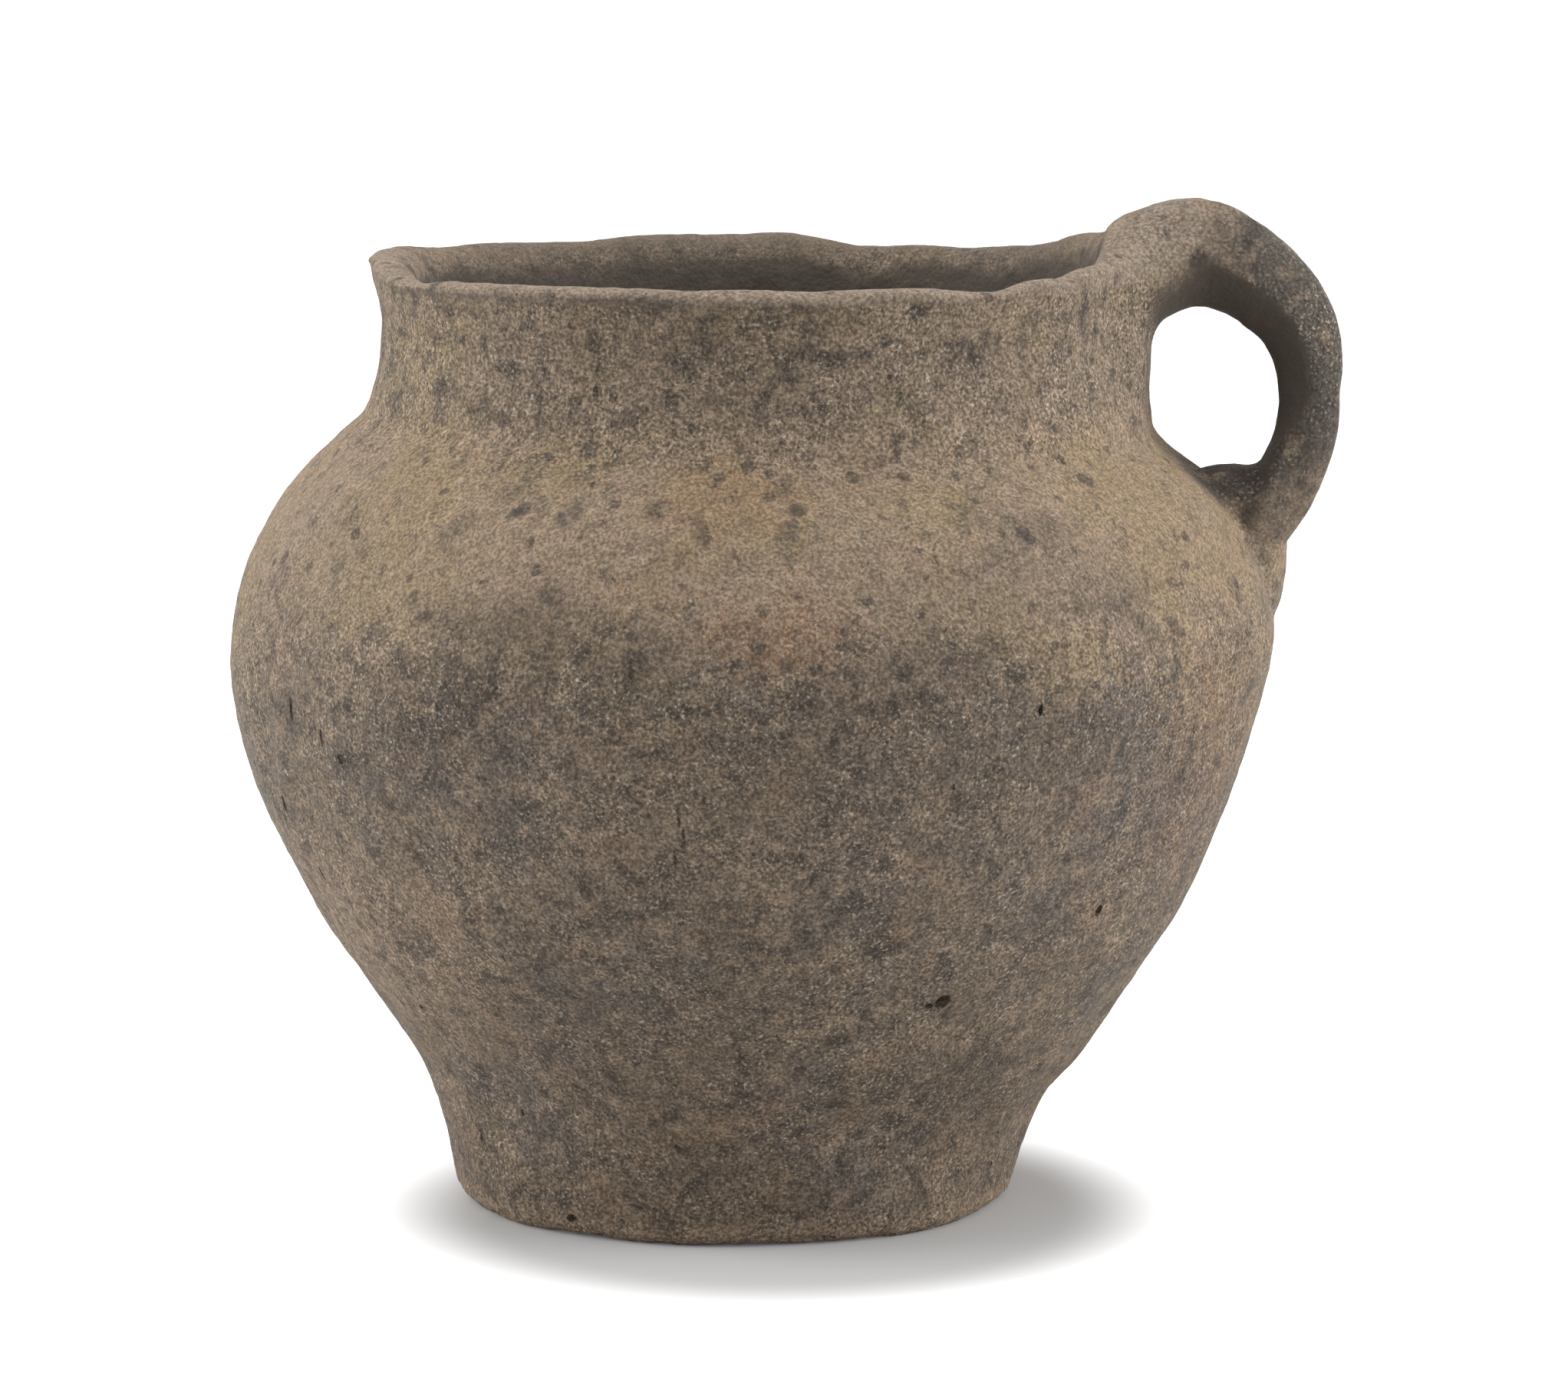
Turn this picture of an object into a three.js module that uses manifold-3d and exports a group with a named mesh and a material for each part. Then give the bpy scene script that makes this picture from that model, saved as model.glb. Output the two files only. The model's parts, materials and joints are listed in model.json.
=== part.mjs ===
// Single-handled olla: a hand-built cooking pot of coarse clay.
// The potter sets coils of clay on a flat disc, one above the other, with bevelled seams,
// and lutes a rolled handle from the rim to the shoulder with a wad of clay round each end.
// Millimetres, +Z up. The origin is the middle of the underside, and the handle stands on +X.
import * as THREE from "three";
import { mergeVertices } from "three/addons/utils/BufferGeometryUtils.js";
import Module from "manifold-3d";

// Base disc
const baseRadius = 49.4;
const baseFlare = 1.9; // widening from the underside to the top edge
const baseThickness = 10;
const baseEdgeRound = 1.8;

// Wall coils, from the base up: the rise of each one, and how much wider its top edge is than its bottom
const footRise = 15;
const footFlare = 7.4;
const lowerWallRise = 25;
const lowerWallFlare = 16.7;
const upperWallRise = 24;
const upperWallFlare = 10.5;
const bellyRise = 24;
const bellyFlare = 5;
const shoulderRise = 19;
const shoulderFlare = -5.2;
const neckRootRise = 20.5;
const neckRootFlare = -16.7;
const neckRise = 13.5;
const neckFlare = -3.7;
const rimRise = 8.7;
const rimFlare = 1.9;

// Wall section and seams
const wallThickness = 7.5;
const seamBevel = 4;
const seamGap = 0.3;

// Irregularities of the hand-built form
const wallOffset = 1.9; // of the wall from the base, towards the handle
const neckLean = 1.7; // of the neck from the belly, towards the handle
const mouthSaddle = 1.4; // rise of the rim at the handle and opposite, and fall between
const rimLift = 2.6; // further rise of the rim under the handle
const rimLiftSpread = 30; // degrees round the rim

// Handle: a roll of clay that tapers from its crest to the lower end
const crestOut = 9.8; // from the neck's face to the crest
const crestUp = 1.8; // from the lip to the crest's centre line
const handleReach = 30.6; // from the neck's face to the outermost centre line
const outermostDrop = 22.4; // from the lip to the outermost centre line
const lowerEndDrop = 53; // from the lip to where the centre line ends in the wall
const lowerEndSink = 5.8; // from the shoulder's face to that end
const crestThickness = 18.5;
const crestWidth = 23;
const bendThickness = 14.6;
const limbThickness = 10.4;
const limbWidth = 18;
const lowerEndThickness = 12.5;
const lowerEndWidth = 18.5;

// Luting wads round the two ends of the handle: their length along it, and their spread at the wall
const upperLutingLength = 24;
const upperLutingSide = 13;
const upperLutingUnder = 5.5;
const upperLutingTop = 0.4;
const lowerLutingLength = 22;
const lowerLutingSide = 10;
const lowerLutingUnder = 12;
const lowerLutingTop = 1.4;
const lutingFeather = 0.8;

// Fineness of the facets
const roundSegments = 48;
const coilSteps = 3;
const lipSteps = 6;
const baseEdgeSteps = 3;
const handleSides = 16;
const handleSteps = 24;
const lutingSteps = 6;
const curveSamples = 40; // per coil, to measure along the outer curve

const wasm = await Module();
wasm.setup();

// Colours of the fired clay
const clay = { base: 0x6a5c4c, dark: 0x5d5347, grey: 0x6f6355, tan: 0x8b755b, ochre: 0x8d7858, soot: 0x554b41 };

const coils = [
  { name: "foot_coil", rise: footRise, flare: footFlare, colour: clay.base },
  { name: "lower_wall_coil", rise: lowerWallRise, flare: lowerWallFlare, colour: clay.dark },
  { name: "upper_wall_coil", rise: upperWallRise, flare: upperWallFlare, colour: clay.dark },
  { name: "belly_coil", rise: bellyRise, flare: bellyFlare, colour: clay.grey },
  { name: "shoulder_coil", rise: shoulderRise, flare: shoulderFlare, colour: clay.tan },
  { name: "neck_root_coil", rise: neckRootRise, flare: neckRootFlare, colour: clay.tan },
  { name: "neck_coil", rise: neckRise, flare: neckFlare, colour: clay.ochre },
  { name: "rim_coil", rise: rimRise, flare: rimFlare, colour: clay.base },
];

// The outer curve of the pot, as radius and height, through the top edge of every piece
const stations = [new THREE.Vector2(baseRadius, 0)];
for (const piece of [{ rise: baseThickness, flare: baseFlare }, ...coils]) {
  const below = stations[stations.length - 1];
  stations.push(new THREE.Vector2(below.x + piece.flare, below.y + piece.rise));
}
const outerCurve = new THREE.SplineCurve(stations);
outerCurve.arcLengthDivisions = curveSamples * (stations.length - 1);

const curveLengths = outerCurve.getLengths();
const curveLength = curveLengths[curveLengths.length - 1];
const seamAt = stations.map((_, i) => curveLengths[i * curveSamples]);

// Radii of the rim and the neck, and heights of the lip and of some top edges below it
const rimRadius = stations[stations.length - 1].x;
const rimHeight = stations[stations.length - 1].y;
const neckRadius = rimRadius - rimFlare;
const neckHeight = rimHeight - rimRise;
const neckRootHeight = neckHeight - neckRise;
const upperWallHeight = neckRootHeight - neckRootRise - shoulderRise - bellyRise;
const footHeight = baseThickness + footRise;
const lipHeight = rimHeight + wallThickness / 2;

// A point on the outer curve at a length along it, moved inwards by depth
function wallPoint(length, depth) {
  const share = THREE.MathUtils.clamp(length / curveLength, 0, 1);
  const point = outerCurve.getPointAt(share);
  const along = outerCurve.getTangentAt(share);
  return new THREE.Vector2(point.x - depth * along.y, point.y + depth * along.x);
}

// Points along the wall from one length to another, at one depth
function wallRun(from, to, depth, steps) {
  const points = [];
  for (let i = 0; i <= steps; i++) {
    points.push(wallPoint(from + ((to - from) * i) / steps, depth));
  }
  return points;
}

// The half-round nose that closes the lip, from its outer edge to its inner one
function lipNose(length, from, to) {
  const middle = wallPoint(length, (from + to) / 2);
  const outer = wallPoint(length, from);
  const across = outer.clone().sub(middle);
  const along = outerCurve.getTangentAt(length / curveLength).multiplyScalar(across.length());
  const points = [];
  for (let i = 1; i < lipSteps; i++) {
    const turn = (Math.PI * i) / lipSteps;
    const point = middle.clone().addScaledVector(across, Math.cos(turn));
    points.push(point.addScaledVector(along, Math.sin(turn)));
  }
  return points;
}

// How far the axis of the wall lies towards the handle at a height
function axisOffset(height) {
  const wall = wallOffset * THREE.MathUtils.smoothstep(height, baseEdgeRound, footHeight);
  const neck = neckLean * THREE.MathUtils.smoothstep(height, upperWallHeight, neckHeight);
  return wall + neck;
}

// The wall's outer radius at a height, found along its curve
function outerRadius(height) {
  let low = 0;
  let high = 1;
  for (let i = 0; i < curveSamples; i++) {
    const middle = (low + high) / 2;
    if (outerCurve.getPointAt(middle).y < height) {
      low = middle;
    } else {
      high = middle;
    }
  }
  return outerCurve.getPointAt(low).x;
}

// The irregular hand-built form: the wall leans, and the mouth is a saddle that lifts to the handle
function handmade(point) {
  const radius = Math.hypot(point.x, point.y);
  const angle = Math.atan2(point.y, point.x);
  const lifting = THREE.MathUtils.smoothstep(point.z, neckRootHeight, lipHeight);
  const nearRim = Math.min(1, radius / (rimRadius - wallThickness)) ** 2;
  const toHandle = THREE.MathUtils.radToDeg(angle) / rimLiftSpread;
  const lift = mouthSaddle * Math.cos(2 * angle) + rimLift * Math.exp(-toHandle * toHandle);
  point.x += axisOffset(point.z);
  point.z += lift * lifting * nearRim;
  return point;
}

// A geometry turned about the pot's axis from a closed profile of radius and height
function turned(profile) {
  const geometry = new THREE.LatheGeometry(profile, roundSegments);
  geometry.rotateX(Math.PI / 2);
  const position = geometry.getAttribute("position");
  const point = new THREE.Vector3();
  for (let i = 0; i < position.count; i++) {
    handmade(point.fromBufferAttribute(position, i));
    position.setXYZ(i, point.x, point.y, point.z);
  }
  return geometry;
}

// A closed geometry through rings of points, with a fan over each end
function lofted(rings) {
  const sides = rings[0].length;
  const corners = rings.flat();
  const faces = [];
  for (let ring = 0; ring + 1 < rings.length; ring++) {
    for (let side = 0; side < sides; side++) {
      const a = ring * sides + side;
      const b = ring * sides + ((side + 1) % sides);
      faces.push(a, b, a + sides, b, b + sides, a + sides);
    }
  }
  const last = (rings.length - 1) * sides;
  for (let side = 1; side + 1 < sides; side++) {
    faces.push(0, side + 1, side, last, last + side, last + side + 1);
  }
  const geometry = new THREE.BufferGeometry().setFromPoints(corners);
  geometry.setIndex(faces);
  return geometry;
}

// A closed geometry as a solid that can be joined and cut, and back
function solidOf(geometry) {
  const bare = new THREE.BufferGeometry();
  bare.setAttribute("position", geometry.getAttribute("position"));
  bare.setIndex(geometry.getIndex());
  const merged = mergeVertices(bare, 1e-3);
  const mesh = new wasm.Mesh({
    numProp: 3,
    vertProperties: new Float32Array(merged.getAttribute("position").array),
    triVerts: new Uint32Array(merged.getIndex().array),
  });
  return new wasm.Manifold(mesh);
}

function geometryOf(solid) {
  const mesh = solid.getMesh();
  const geometry = new THREE.BufferGeometry();
  geometry.setAttribute("position", new THREE.BufferAttribute(mesh.vertProperties, mesh.numProp));
  geometry.setIndex(new THREE.BufferAttribute(mesh.triVerts, 1));
  return geometry;
}

// The flat disc that everything stands on, with a rounded lower edge and a bevelled seat for the foot
function baseDisc() {
  const profile = [new THREE.Vector2(0, 0)];
  const sideFrom = wallPoint(baseEdgeRound, 0);
  const flatRadius = sideFrom.x - baseEdgeRound;
  for (let i = 0; i < baseEdgeSteps; i++) {
    const turn = (Math.PI / 2) * (i / baseEdgeSteps);
    const out = baseEdgeRound * Math.sin(turn);
    const up = sideFrom.y * (1 - Math.cos(turn));
    profile.push(new THREE.Vector2(flatRadius + out, up));
  }
  const seat = seamAt[1] - seamGap / 2;
  profile.push(...wallRun(baseEdgeRound, seat, 0, 2));
  const floorEdge = wallPoint(seat, wallThickness);
  profile.push(floorEdge, new THREE.Vector2(0, floorEdge.y));
  return turned(profile);
}

// One coil of the wall, between two bevelled seams, or up to the rounded lip
function wallCoil(index) {
  const isFirst = index === 0;
  const isRim = index === coils.length - 1;
  const bottom = seamAt[index + 1] + seamGap / 2;
  const top = isRim ? curveLength : seamAt[index + 2] - seamGap / 2;
  const innerBottom = isFirst ? bottom : bottom - seamBevel;
  const innerTop = isRim ? top : top - seamBevel;
  const profile = wallRun(bottom, top, 0, coilSteps);
  if (isRim) {
    profile.push(...lipNose(top, 0, wallThickness));
  }
  profile.push(...wallRun(innerTop, innerBottom, wallThickness, coilSteps));
  profile.push(profile[0].clone());
  return turned(profile);
}

// The whole pot without its hollow, grown by the seam gap, to cut what is luted to its outside
function potWithSeam() {
  const profile = [new THREE.Vector2(0, 0)];
  profile.push(...wallRun(0, curveLength, -seamGap, coils.length * coilSteps * 2));
  profile.push(...lipNose(curveLength, -seamGap, wallThickness + seamGap).slice(0, lipSteps - 2));
  const crown = profile[profile.length - 1];
  profile.push(new THREE.Vector2(0, crown.y));
  return solidOf(turned(profile));
}

// The handle's centre line, from inside the rim over the crest to inside the shoulder
const neckFace = neckRadius + axisOffset(neckHeight);
const outermost = new THREE.Vector3(neckFace + handleReach, 0, lipHeight - outermostDrop);
const lowerEndHeight = lipHeight - lowerEndDrop;
const shoulderFace = outerRadius(lowerEndHeight) + axisOffset(lowerEndHeight);
const lowerEnd = new THREE.Vector3(shoulderFace - lowerEndSink, 0, lowerEndHeight);
const handleLine = new THREE.CatmullRomCurve3([
  new THREE.Vector3(neckFace - wallThickness, 0, lipHeight + crestUp - crestThickness / 2),
  new THREE.Vector3(neckFace + crestOut, 0, lipHeight + crestUp),
  new THREE.Vector3(neckFace + handleReach * 0.847, 0, lipHeight - outermostDrop * 0.33),
  outermost,
  new THREE.Vector3(
    THREE.MathUtils.lerp(lowerEnd.x, outermost.x, 0.775),
    0,
    THREE.MathUtils.lerp(lowerEnd.z, outermost.z, 0.5),
  ),
  lowerEnd,
]);

// Thickness and width of the roll at the same places along it
function alongHandle(values) {
  return new THREE.SplineCurve(values.map((value, i) => new THREE.Vector2(i / (values.length - 1), value)));
}
const thicknessAlong = alongHandle([
  crestThickness,
  crestThickness,
  bendThickness,
  limbThickness,
  (limbThickness + lowerEndThickness) / 2,
  lowerEndThickness,
]);
const widthAlong = alongHandle([
  crestWidth,
  crestWidth,
  (crestWidth + limbWidth) / 2,
  limbWidth,
  (limbWidth + lowerEndWidth) / 2,
  lowerEndWidth,
]);

// A ring round the handle's line: upwards is away from the finger gap, sideways along Y
function handleRing(share, moreSide, moreUnder, moreTop) {
  const centre = handleLine.getPointAt(share);
  const along = handleLine.getTangentAt(share);
  const outward = new THREE.Vector3(-along.z, 0, along.x);
  const halfThickness = thicknessAlong.getPoint(share).y / 2;
  const halfWidth = widthAlong.getPoint(share).y / 2;
  const ring = [];
  for (let i = 0; i < handleSides; i++) {
    const turn = (2 * Math.PI * i) / handleSides;
    const over = Math.sin(turn);
    const reach = halfThickness + (over > 0 ? moreTop : moreUnder);
    const point = centre.clone().addScaledVector(outward, over * reach);
    point.y += Math.cos(turn) * (halfWidth + moreSide);
    ring.push(point);
  }
  return ring;
}

function handleSolid(more) {
  const rings = [];
  for (let i = 0; i <= handleSteps; i++) {
    rings.push(handleRing(i / handleSteps, more, more, more));
  }
  return solidOf(lofted(rings));
}

// A wad round one end of the handle, widest where it meets the wall and feathered along the roll
function lutingSolid(fromShare, toShare, side, under, top) {
  const rings = [];
  for (let i = 0; i <= lutingSteps; i++) {
    const share = i / lutingSteps;
    const flare = (1 - share) ** 2;
    const at = THREE.MathUtils.lerp(fromShare, toShare, share);
    rings.push(
      handleRing(
        at,
        lutingFeather + side * flare,
        lutingFeather + under * flare,
        lutingFeather + top * flare,
      ),
    );
  }
  const ordered = fromShare < toShare ? rings : rings.reverse();
  return solidOf(lofted(ordered));
}

const pot = potWithSeam();
const roll = handleSolid(0);
const rollWithSeam = handleSolid(seamGap);

const pieces = new THREE.Group();
pieces.name = "single_handled_olla";

function addPiece(name, geometry, colour) {
  geometry.computeVertexNormals();
  const material = new THREE.MeshStandardMaterial({ color: colour, roughness: 0.95, metalness: 0 });
  const mesh = new THREE.Mesh(geometry, material);
  mesh.name = name;
  pieces.add(mesh);
}

addPiece("base_disc", baseDisc(), clay.base);
coils.forEach((coil, index) => addPiece(coil.name, wallCoil(index), coil.colour));
addPiece("handle_roll", geometryOf(roll.subtract(pot)), clay.soot);

const handleLength = handleLine.getLength();
const upperLuting = lutingSolid(
  0,
  upperLutingLength / handleLength,
  upperLutingSide,
  upperLutingUnder,
  upperLutingTop,
);
addPiece("upper_luting", geometryOf(upperLuting.subtract(rollWithSeam).subtract(pot)), clay.tan);

const lowerLuting = lutingSolid(
  1,
  1 - lowerLutingLength / handleLength,
  lowerLutingSide,
  lowerLutingUnder,
  lowerLutingTop,
);
addPiece("lower_luting", geometryOf(lowerLuting.subtract(rollWithSeam).subtract(pot)), clay.tan);

export default pieces;
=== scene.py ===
"""Single-handled olla: the looks of a hand-built, coil-made cooking pot.

The pot is made as a potter makes it. A disc is drawn up ring by ring into the wall, a roll of clay is
bent into the handle, and wads of clay lute its two ends. The clay is then fused, worked over and pitted,
and cut again at the seams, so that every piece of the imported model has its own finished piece.

Round the pot, places are told in degrees from the front towards the handle, which stands at 90, and in
heights above the floor.
"""

import json
import math
import random

import bpy
import numpy as np
from bpy.props import FloatProperty, FloatVectorProperty, IntProperty, PointerProperty
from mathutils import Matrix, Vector
from mathutils.geometry import interpolate_bezier

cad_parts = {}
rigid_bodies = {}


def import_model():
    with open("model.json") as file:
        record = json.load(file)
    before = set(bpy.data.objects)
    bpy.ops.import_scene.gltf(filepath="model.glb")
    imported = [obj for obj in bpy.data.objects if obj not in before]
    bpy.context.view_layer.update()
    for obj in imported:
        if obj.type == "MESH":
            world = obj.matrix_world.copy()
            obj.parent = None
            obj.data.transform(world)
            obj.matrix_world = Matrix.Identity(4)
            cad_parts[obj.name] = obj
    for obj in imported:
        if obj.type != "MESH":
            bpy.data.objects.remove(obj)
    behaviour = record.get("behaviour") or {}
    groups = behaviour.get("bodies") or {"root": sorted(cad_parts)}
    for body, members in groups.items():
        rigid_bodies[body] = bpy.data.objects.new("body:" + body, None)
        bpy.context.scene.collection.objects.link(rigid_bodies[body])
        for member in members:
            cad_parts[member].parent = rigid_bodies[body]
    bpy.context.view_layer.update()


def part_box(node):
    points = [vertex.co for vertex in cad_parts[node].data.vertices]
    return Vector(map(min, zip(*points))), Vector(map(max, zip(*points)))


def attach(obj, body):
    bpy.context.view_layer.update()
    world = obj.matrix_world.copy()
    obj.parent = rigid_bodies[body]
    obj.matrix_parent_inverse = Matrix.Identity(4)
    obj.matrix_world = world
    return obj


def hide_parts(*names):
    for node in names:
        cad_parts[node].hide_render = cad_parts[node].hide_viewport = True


bl_info = {
    "name": "Hand-built Olla",
    "version": (1, 0, 0),
    "blender": (4, 5, 0),
    "location": "3D View > Sidebar > Olla",
    "description": "Builds a coil-made cooking pot with one handle, its fired clay and its studio stage",
    "category": "Object",
}

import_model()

MM = 0.001
PHOTO_WIDTH = 2044

# The coils from the base up, each with the record's slot beside it
COILS = (
    ("base_disc", "lower_clay"),
    ("foot_coil", "lower_clay"),
    ("lower_wall_coil", "lower_clay"),
    ("upper_wall_coil", "belly_clay"),
    ("belly_coil", "belly_clay"),
    ("shoulder_coil", "shoulder_clay"),
    ("neck_root_coil", "shoulder_clay"),
    ("neck_coil", "shoulder_clay"),
    ("rim_coil", "rim_clay"),
)

# The wall's stations from the rounded lower edge up to the waist, and then over the lip into the throat
WALL_STATIONS = (
    "edge", "base_top", "foot", "flare", "lower_wall", "mid_wall", "upper_wall", "under_belly",
    "belly", "shoulder", "mid_shoulder", "shoulder_top", "neck_break", "neck_root", "neck", "waist",
)
LIP_STATIONS = ("under_lip", "lip_low", "lip_edge", "lip_top", "lip_inner", "throat")

# The roll's bends from the rim over the crest to the shoulder
HANDLE_BENDS = (
    "rim_end", "root", "crest", "turn", "upper_bend", "upper_limb", "limb", "lower_limb",
    "lower_bend", "lower_root", "shoulder_end",
)

# Pulls on the lip: degrees round, millimetres up, and how far the pull spreads
LIP_PULLS = (
    (-90, 1.5, 30),
    (-60, -0.5, 16),
    (-20, 0.6, 45),
    (25, 0.7, 12),
    (50, 1.0, 9),
    (70, 2.6, 26),
    (90, 4.5, 32),
    (111, 4.2, 22),
    (122, 2.0, 16),
    (153, -1.4, 26),
    (168, -1.8, 17),
    (-137, -0.7, 20),
)

# Pushes on the wall: degrees round, height, millimetres outwards, and how far the push spreads
WALL_PUSHES = (
    (88, 131, -1.8, 14),
    (104, 131.5, -4.2, 17),
    (-90, 140, 0.8, 9),
    (-90, 158.5, 0.7, 9),
    (-90, 161.5, 0.8, 10),
    (-40, 0.5, 2.5, 30),
    (0, 0.5, 3, 55),
    (40, 0.5, 2.5, 30),
    (62, 0.5, 2, 28),
)

# Wads that lute the handle: size, degrees round, height, and distance in from the wall's face in millimetres
WADS = (
    ("upper_wad", 90, 149, 1.2),
    ("crotch_wad", 90, 122.4, -0.2),
    ("lower_wad", 94, 112.5, -0.2),
)

# Presses on the limb's front arris: distance out, height, and millimetres towards the pot and to the front
ARRIS_PRESSES = (
    (98.9, 134, 2.0, 0.0),
    (96.6, 127, 3.2, 1.0),
    (92.5, 119.5, 2.6, 1.8),
)

# Where the lutings are smeared smooth: middle and half size in millimetres, and how many strokes
FILLETS = (
    ((63, -9, 154), (25, 36, 18), 80),
    ((63, -8, 153), (21, 29, 16), 80),
    ((61, -3, 168), (14, 22, 9), 60),
    ((88, 0, 119), (11, 14, 11), 16),
)

# Pits left by lost grits, grooves and chips: degrees round, height, width, tallness and depth in millimetres
PITS = (
    (32.1, 45.1, 3.0, 3.6, 5.0),
    (30.2, 44.6, 1.6, 1.2, 1.8),
    (52.0, 58.8, 1.5, 2.4, 1.8),
    (36.0, 96.5, 0.9, 2.0, 1.2),
    (-26.8, 3.4, 2.2, 1.5, 1.8),
    (-53.0, 92.0, 1.2, 5.0, 0.5),
    (-43.5, 85.0, 2.2, 2.6, 0.7),
    (-47.0, 88.0, 0.8, 4.0, 0.4),
    (-2.0, 80.5, 0.7, 5.0, 0.5),
    (-1.6, 76.5, 0.7, 5.0, 0.5),
    (-2.6, 73.5, 0.6, 3.4, 0.4),
    (-60.0, 74.0, 0.9, 3.0, 0.5),
    (-57.0, 62.0, 0.9, 2.6, 0.5),
)

# Chips along the lower edge of the base, in degrees round
EDGE_CHIPS = (-62, -48, -31, -22, -9, 3, 8, 21, 33, 47, 70, 110, 150, 190, 230, 262)

# How many small pits are scattered, and the seed that scatters them
SMALL_PITS = 50
PIT_SEED = 7

# How far off the wall the search for its surface starts, in metres
SEARCH_START = 0.02

# Rings of the wall and bends of the roll that a smooth curve puts in each span
SPAN_RINGS = 3
SPAN_BENDS = 4

# Fire marks: colour, degrees round, height, half width in degrees and half height in millimetres, strength
FIRE_MARKS = (
    ("soot", -20, 108, 12, 11, 0.55),
    ("soot", -29, 97, 12, 10, 0.6),
    ("soot", -8, 107, 6, 5, 0.45),
    ("soot", -5, 101, 8, 6, 0.4),
    ("soot", -53, 91, 3, 5, 0.6),
    ("soot", -43, 85, 3, 3, 0.7),
    ("soot", 25, 102, 14, 9, 0.45),
    ("soot", 37, 90, 14, 10, 0.45),
    ("soot", 11, 106, 9, 6, 0.25),
    ("soot", 7, 88, 14, 10, 0.3),
    ("soot", 39.5, 27, 17, 12, 0.45),
    ("brown", 40, 116, 17, 9, 0.55),
    ("brown", 22, 113, 9, 7, 0.4),
    ("soot", 36, 127, 6, 3, 0.4),
    ("soot", 42.5, 123.5, 6, 3.5, 0.4),
    ("soot", 49, 112.5, 7, 5, 0.4),
    ("soot", 33, 105, 8, 5, 0.3),
    ("rust", 10, 110, 10, 7, 0.5),
    ("rust", 4, 130, 12, 6, 0.35),
    ("rust", 66, 84, 14, 22, 0.3),
    ("ochre", -53, 151, 14, 9, 0.55),
    ("ochre", -45, 113, 14, 10, 0.45),
    ("tan", -50, 50, 26, 24, 0.75),
    ("tan", 3, 78, 20, 16, 0.3),
    ("brown", -56, 114, 24, 24, 0.3),
    ("soot", 15, 153, 2.6, 1.8, 0.7),
    ("soot", 19.4, 152.2, 2.2, 1.8, 0.7),
    ("soot", -36, 153.5, 1.8, 1.9, 0.8),
    ("soot", -4, 145.7, 2.4, 1.8, 0.7),
    ("soot", 31, 144.5, 2.4, 2.2, 0.5),
    ("soot", -23.3, 134.7, 2.6, 2.2, 0.45),
    ("soot", -15.4, 127.7, 2.2, 2.6, 0.6),
    ("soot", -29.5, 124.9, 2.2, 2.4, 0.5),
    ("soot", -15.4, 115.5, 1.8, 1.8, 0.7),
    ("soot", -4.6, 128.7, 1.6, 1.8, 0.6),
    ("soot", 11.4, 125.4, 2.0, 2.0, 0.5),
    ("soot", -30.4, 111, 1.6, 1.4, 0.7),
    ("soot", -75, 150, 3.0, 3.4, 0.6),
    ("soot", -44, 146.1, 3.4, 3.0, 0.45),
    ("soot", -26.5, 145.3, 1.5, 1.4, 0.6),
    ("soot", -18.5, 141.9, 2.6, 2.6, 0.5),
    ("soot", 2.7, 152.9, 3.2, 2.6, 0.5),
    ("soot", 9.3, 158.3, 2.2, 1.6, 0.5),
    ("soot", 5.6, 149.2, 1.5, 1.3, 0.6),
    ("soot", -23.6, 129.7, 3.4, 3.0, 0.3),
    ("soot", 1.4, 125.5, 1.2, 2.8, 0.5),
)

# Marks of more degrees than this have the wandering outline of clouds, and the others that of dots
BROAD_MARK = 4

# Scattered soot spots: millimetres between them, reach as a share of that, lowest chance, strength
SOOT_SPOTS = ((9.0, 0.21, 0.25, 0.76), (4.2, 0.3, 0.32, 0.68))

# Heights between which the clay of the wall turns into the worn clay of the lip
LIP_BAND = (160.4, 161.8)

# Middle of the finger gap, round which soot and painted shade are laid, the handle's top, and how far out the
# painted shade in the crease beside the lower root lies
GAP_MIDDLE = (84, 0, 140.5)
HANDLE_TOP = (75, 0, 169)
CREASE_OUT = 89.5

# Sums of vectors that give a number
VECTOR_MEASURES = ("DISTANCE", "DOT_PRODUCT", "LENGTH")

# Lamps: name, place and size in metres, and the power that each takes
LAMPS = (
    ("overhead", (0, -0.08, 0.95), 0.9, "overhead"),
    ("left_side", (-0.85, -0.1, 0.28), 0.7, "side"),
    ("right_side", (0.85, -0.1, 0.28), 0.7, "side"),
)
LAMP_AIM = Vector((0, 0, 0.09))
FLOOR_SIZE = 8


def number(name, description, default, **settings):
    """A property that holds a number"""
    return FloatProperty(name=name, description=description, default=default, **settings)


def length(name, description, default):
    """A property that holds a length in metres, given in millimetres"""
    return number(name, description, default * MM, unit="LENGTH", precision=4)


def lengths(name, description, *sizes):
    """A property that holds several lengths in metres, given in millimetres"""
    return FloatVectorProperty(
        name=name,
        description=description,
        size=len(sizes),
        default=[size * MM for size in sizes],
        unit="LENGTH",
        precision=4,
    )


def station(name, description, *sizes):
    """A property that holds one ring of the wall's outside, given in millimetres"""
    return lengths(name, f"Radius, height and offset towards the handle {description}", *sizes)


def bend(name, description, *sizes):
    """A property that holds one bend of the handle's roll, given in millimetres"""
    return lengths(name, f"Distance out, height, thickness and width of the roll {description}", *sizes)


def colour(name, description, red, green, blue):
    """A property that holds a colour of the clay"""
    return FloatVectorProperty(
        name=name, description=description, size=3, default=(red, green, blue), subtype="COLOR", min=0, max=1
    )


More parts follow.
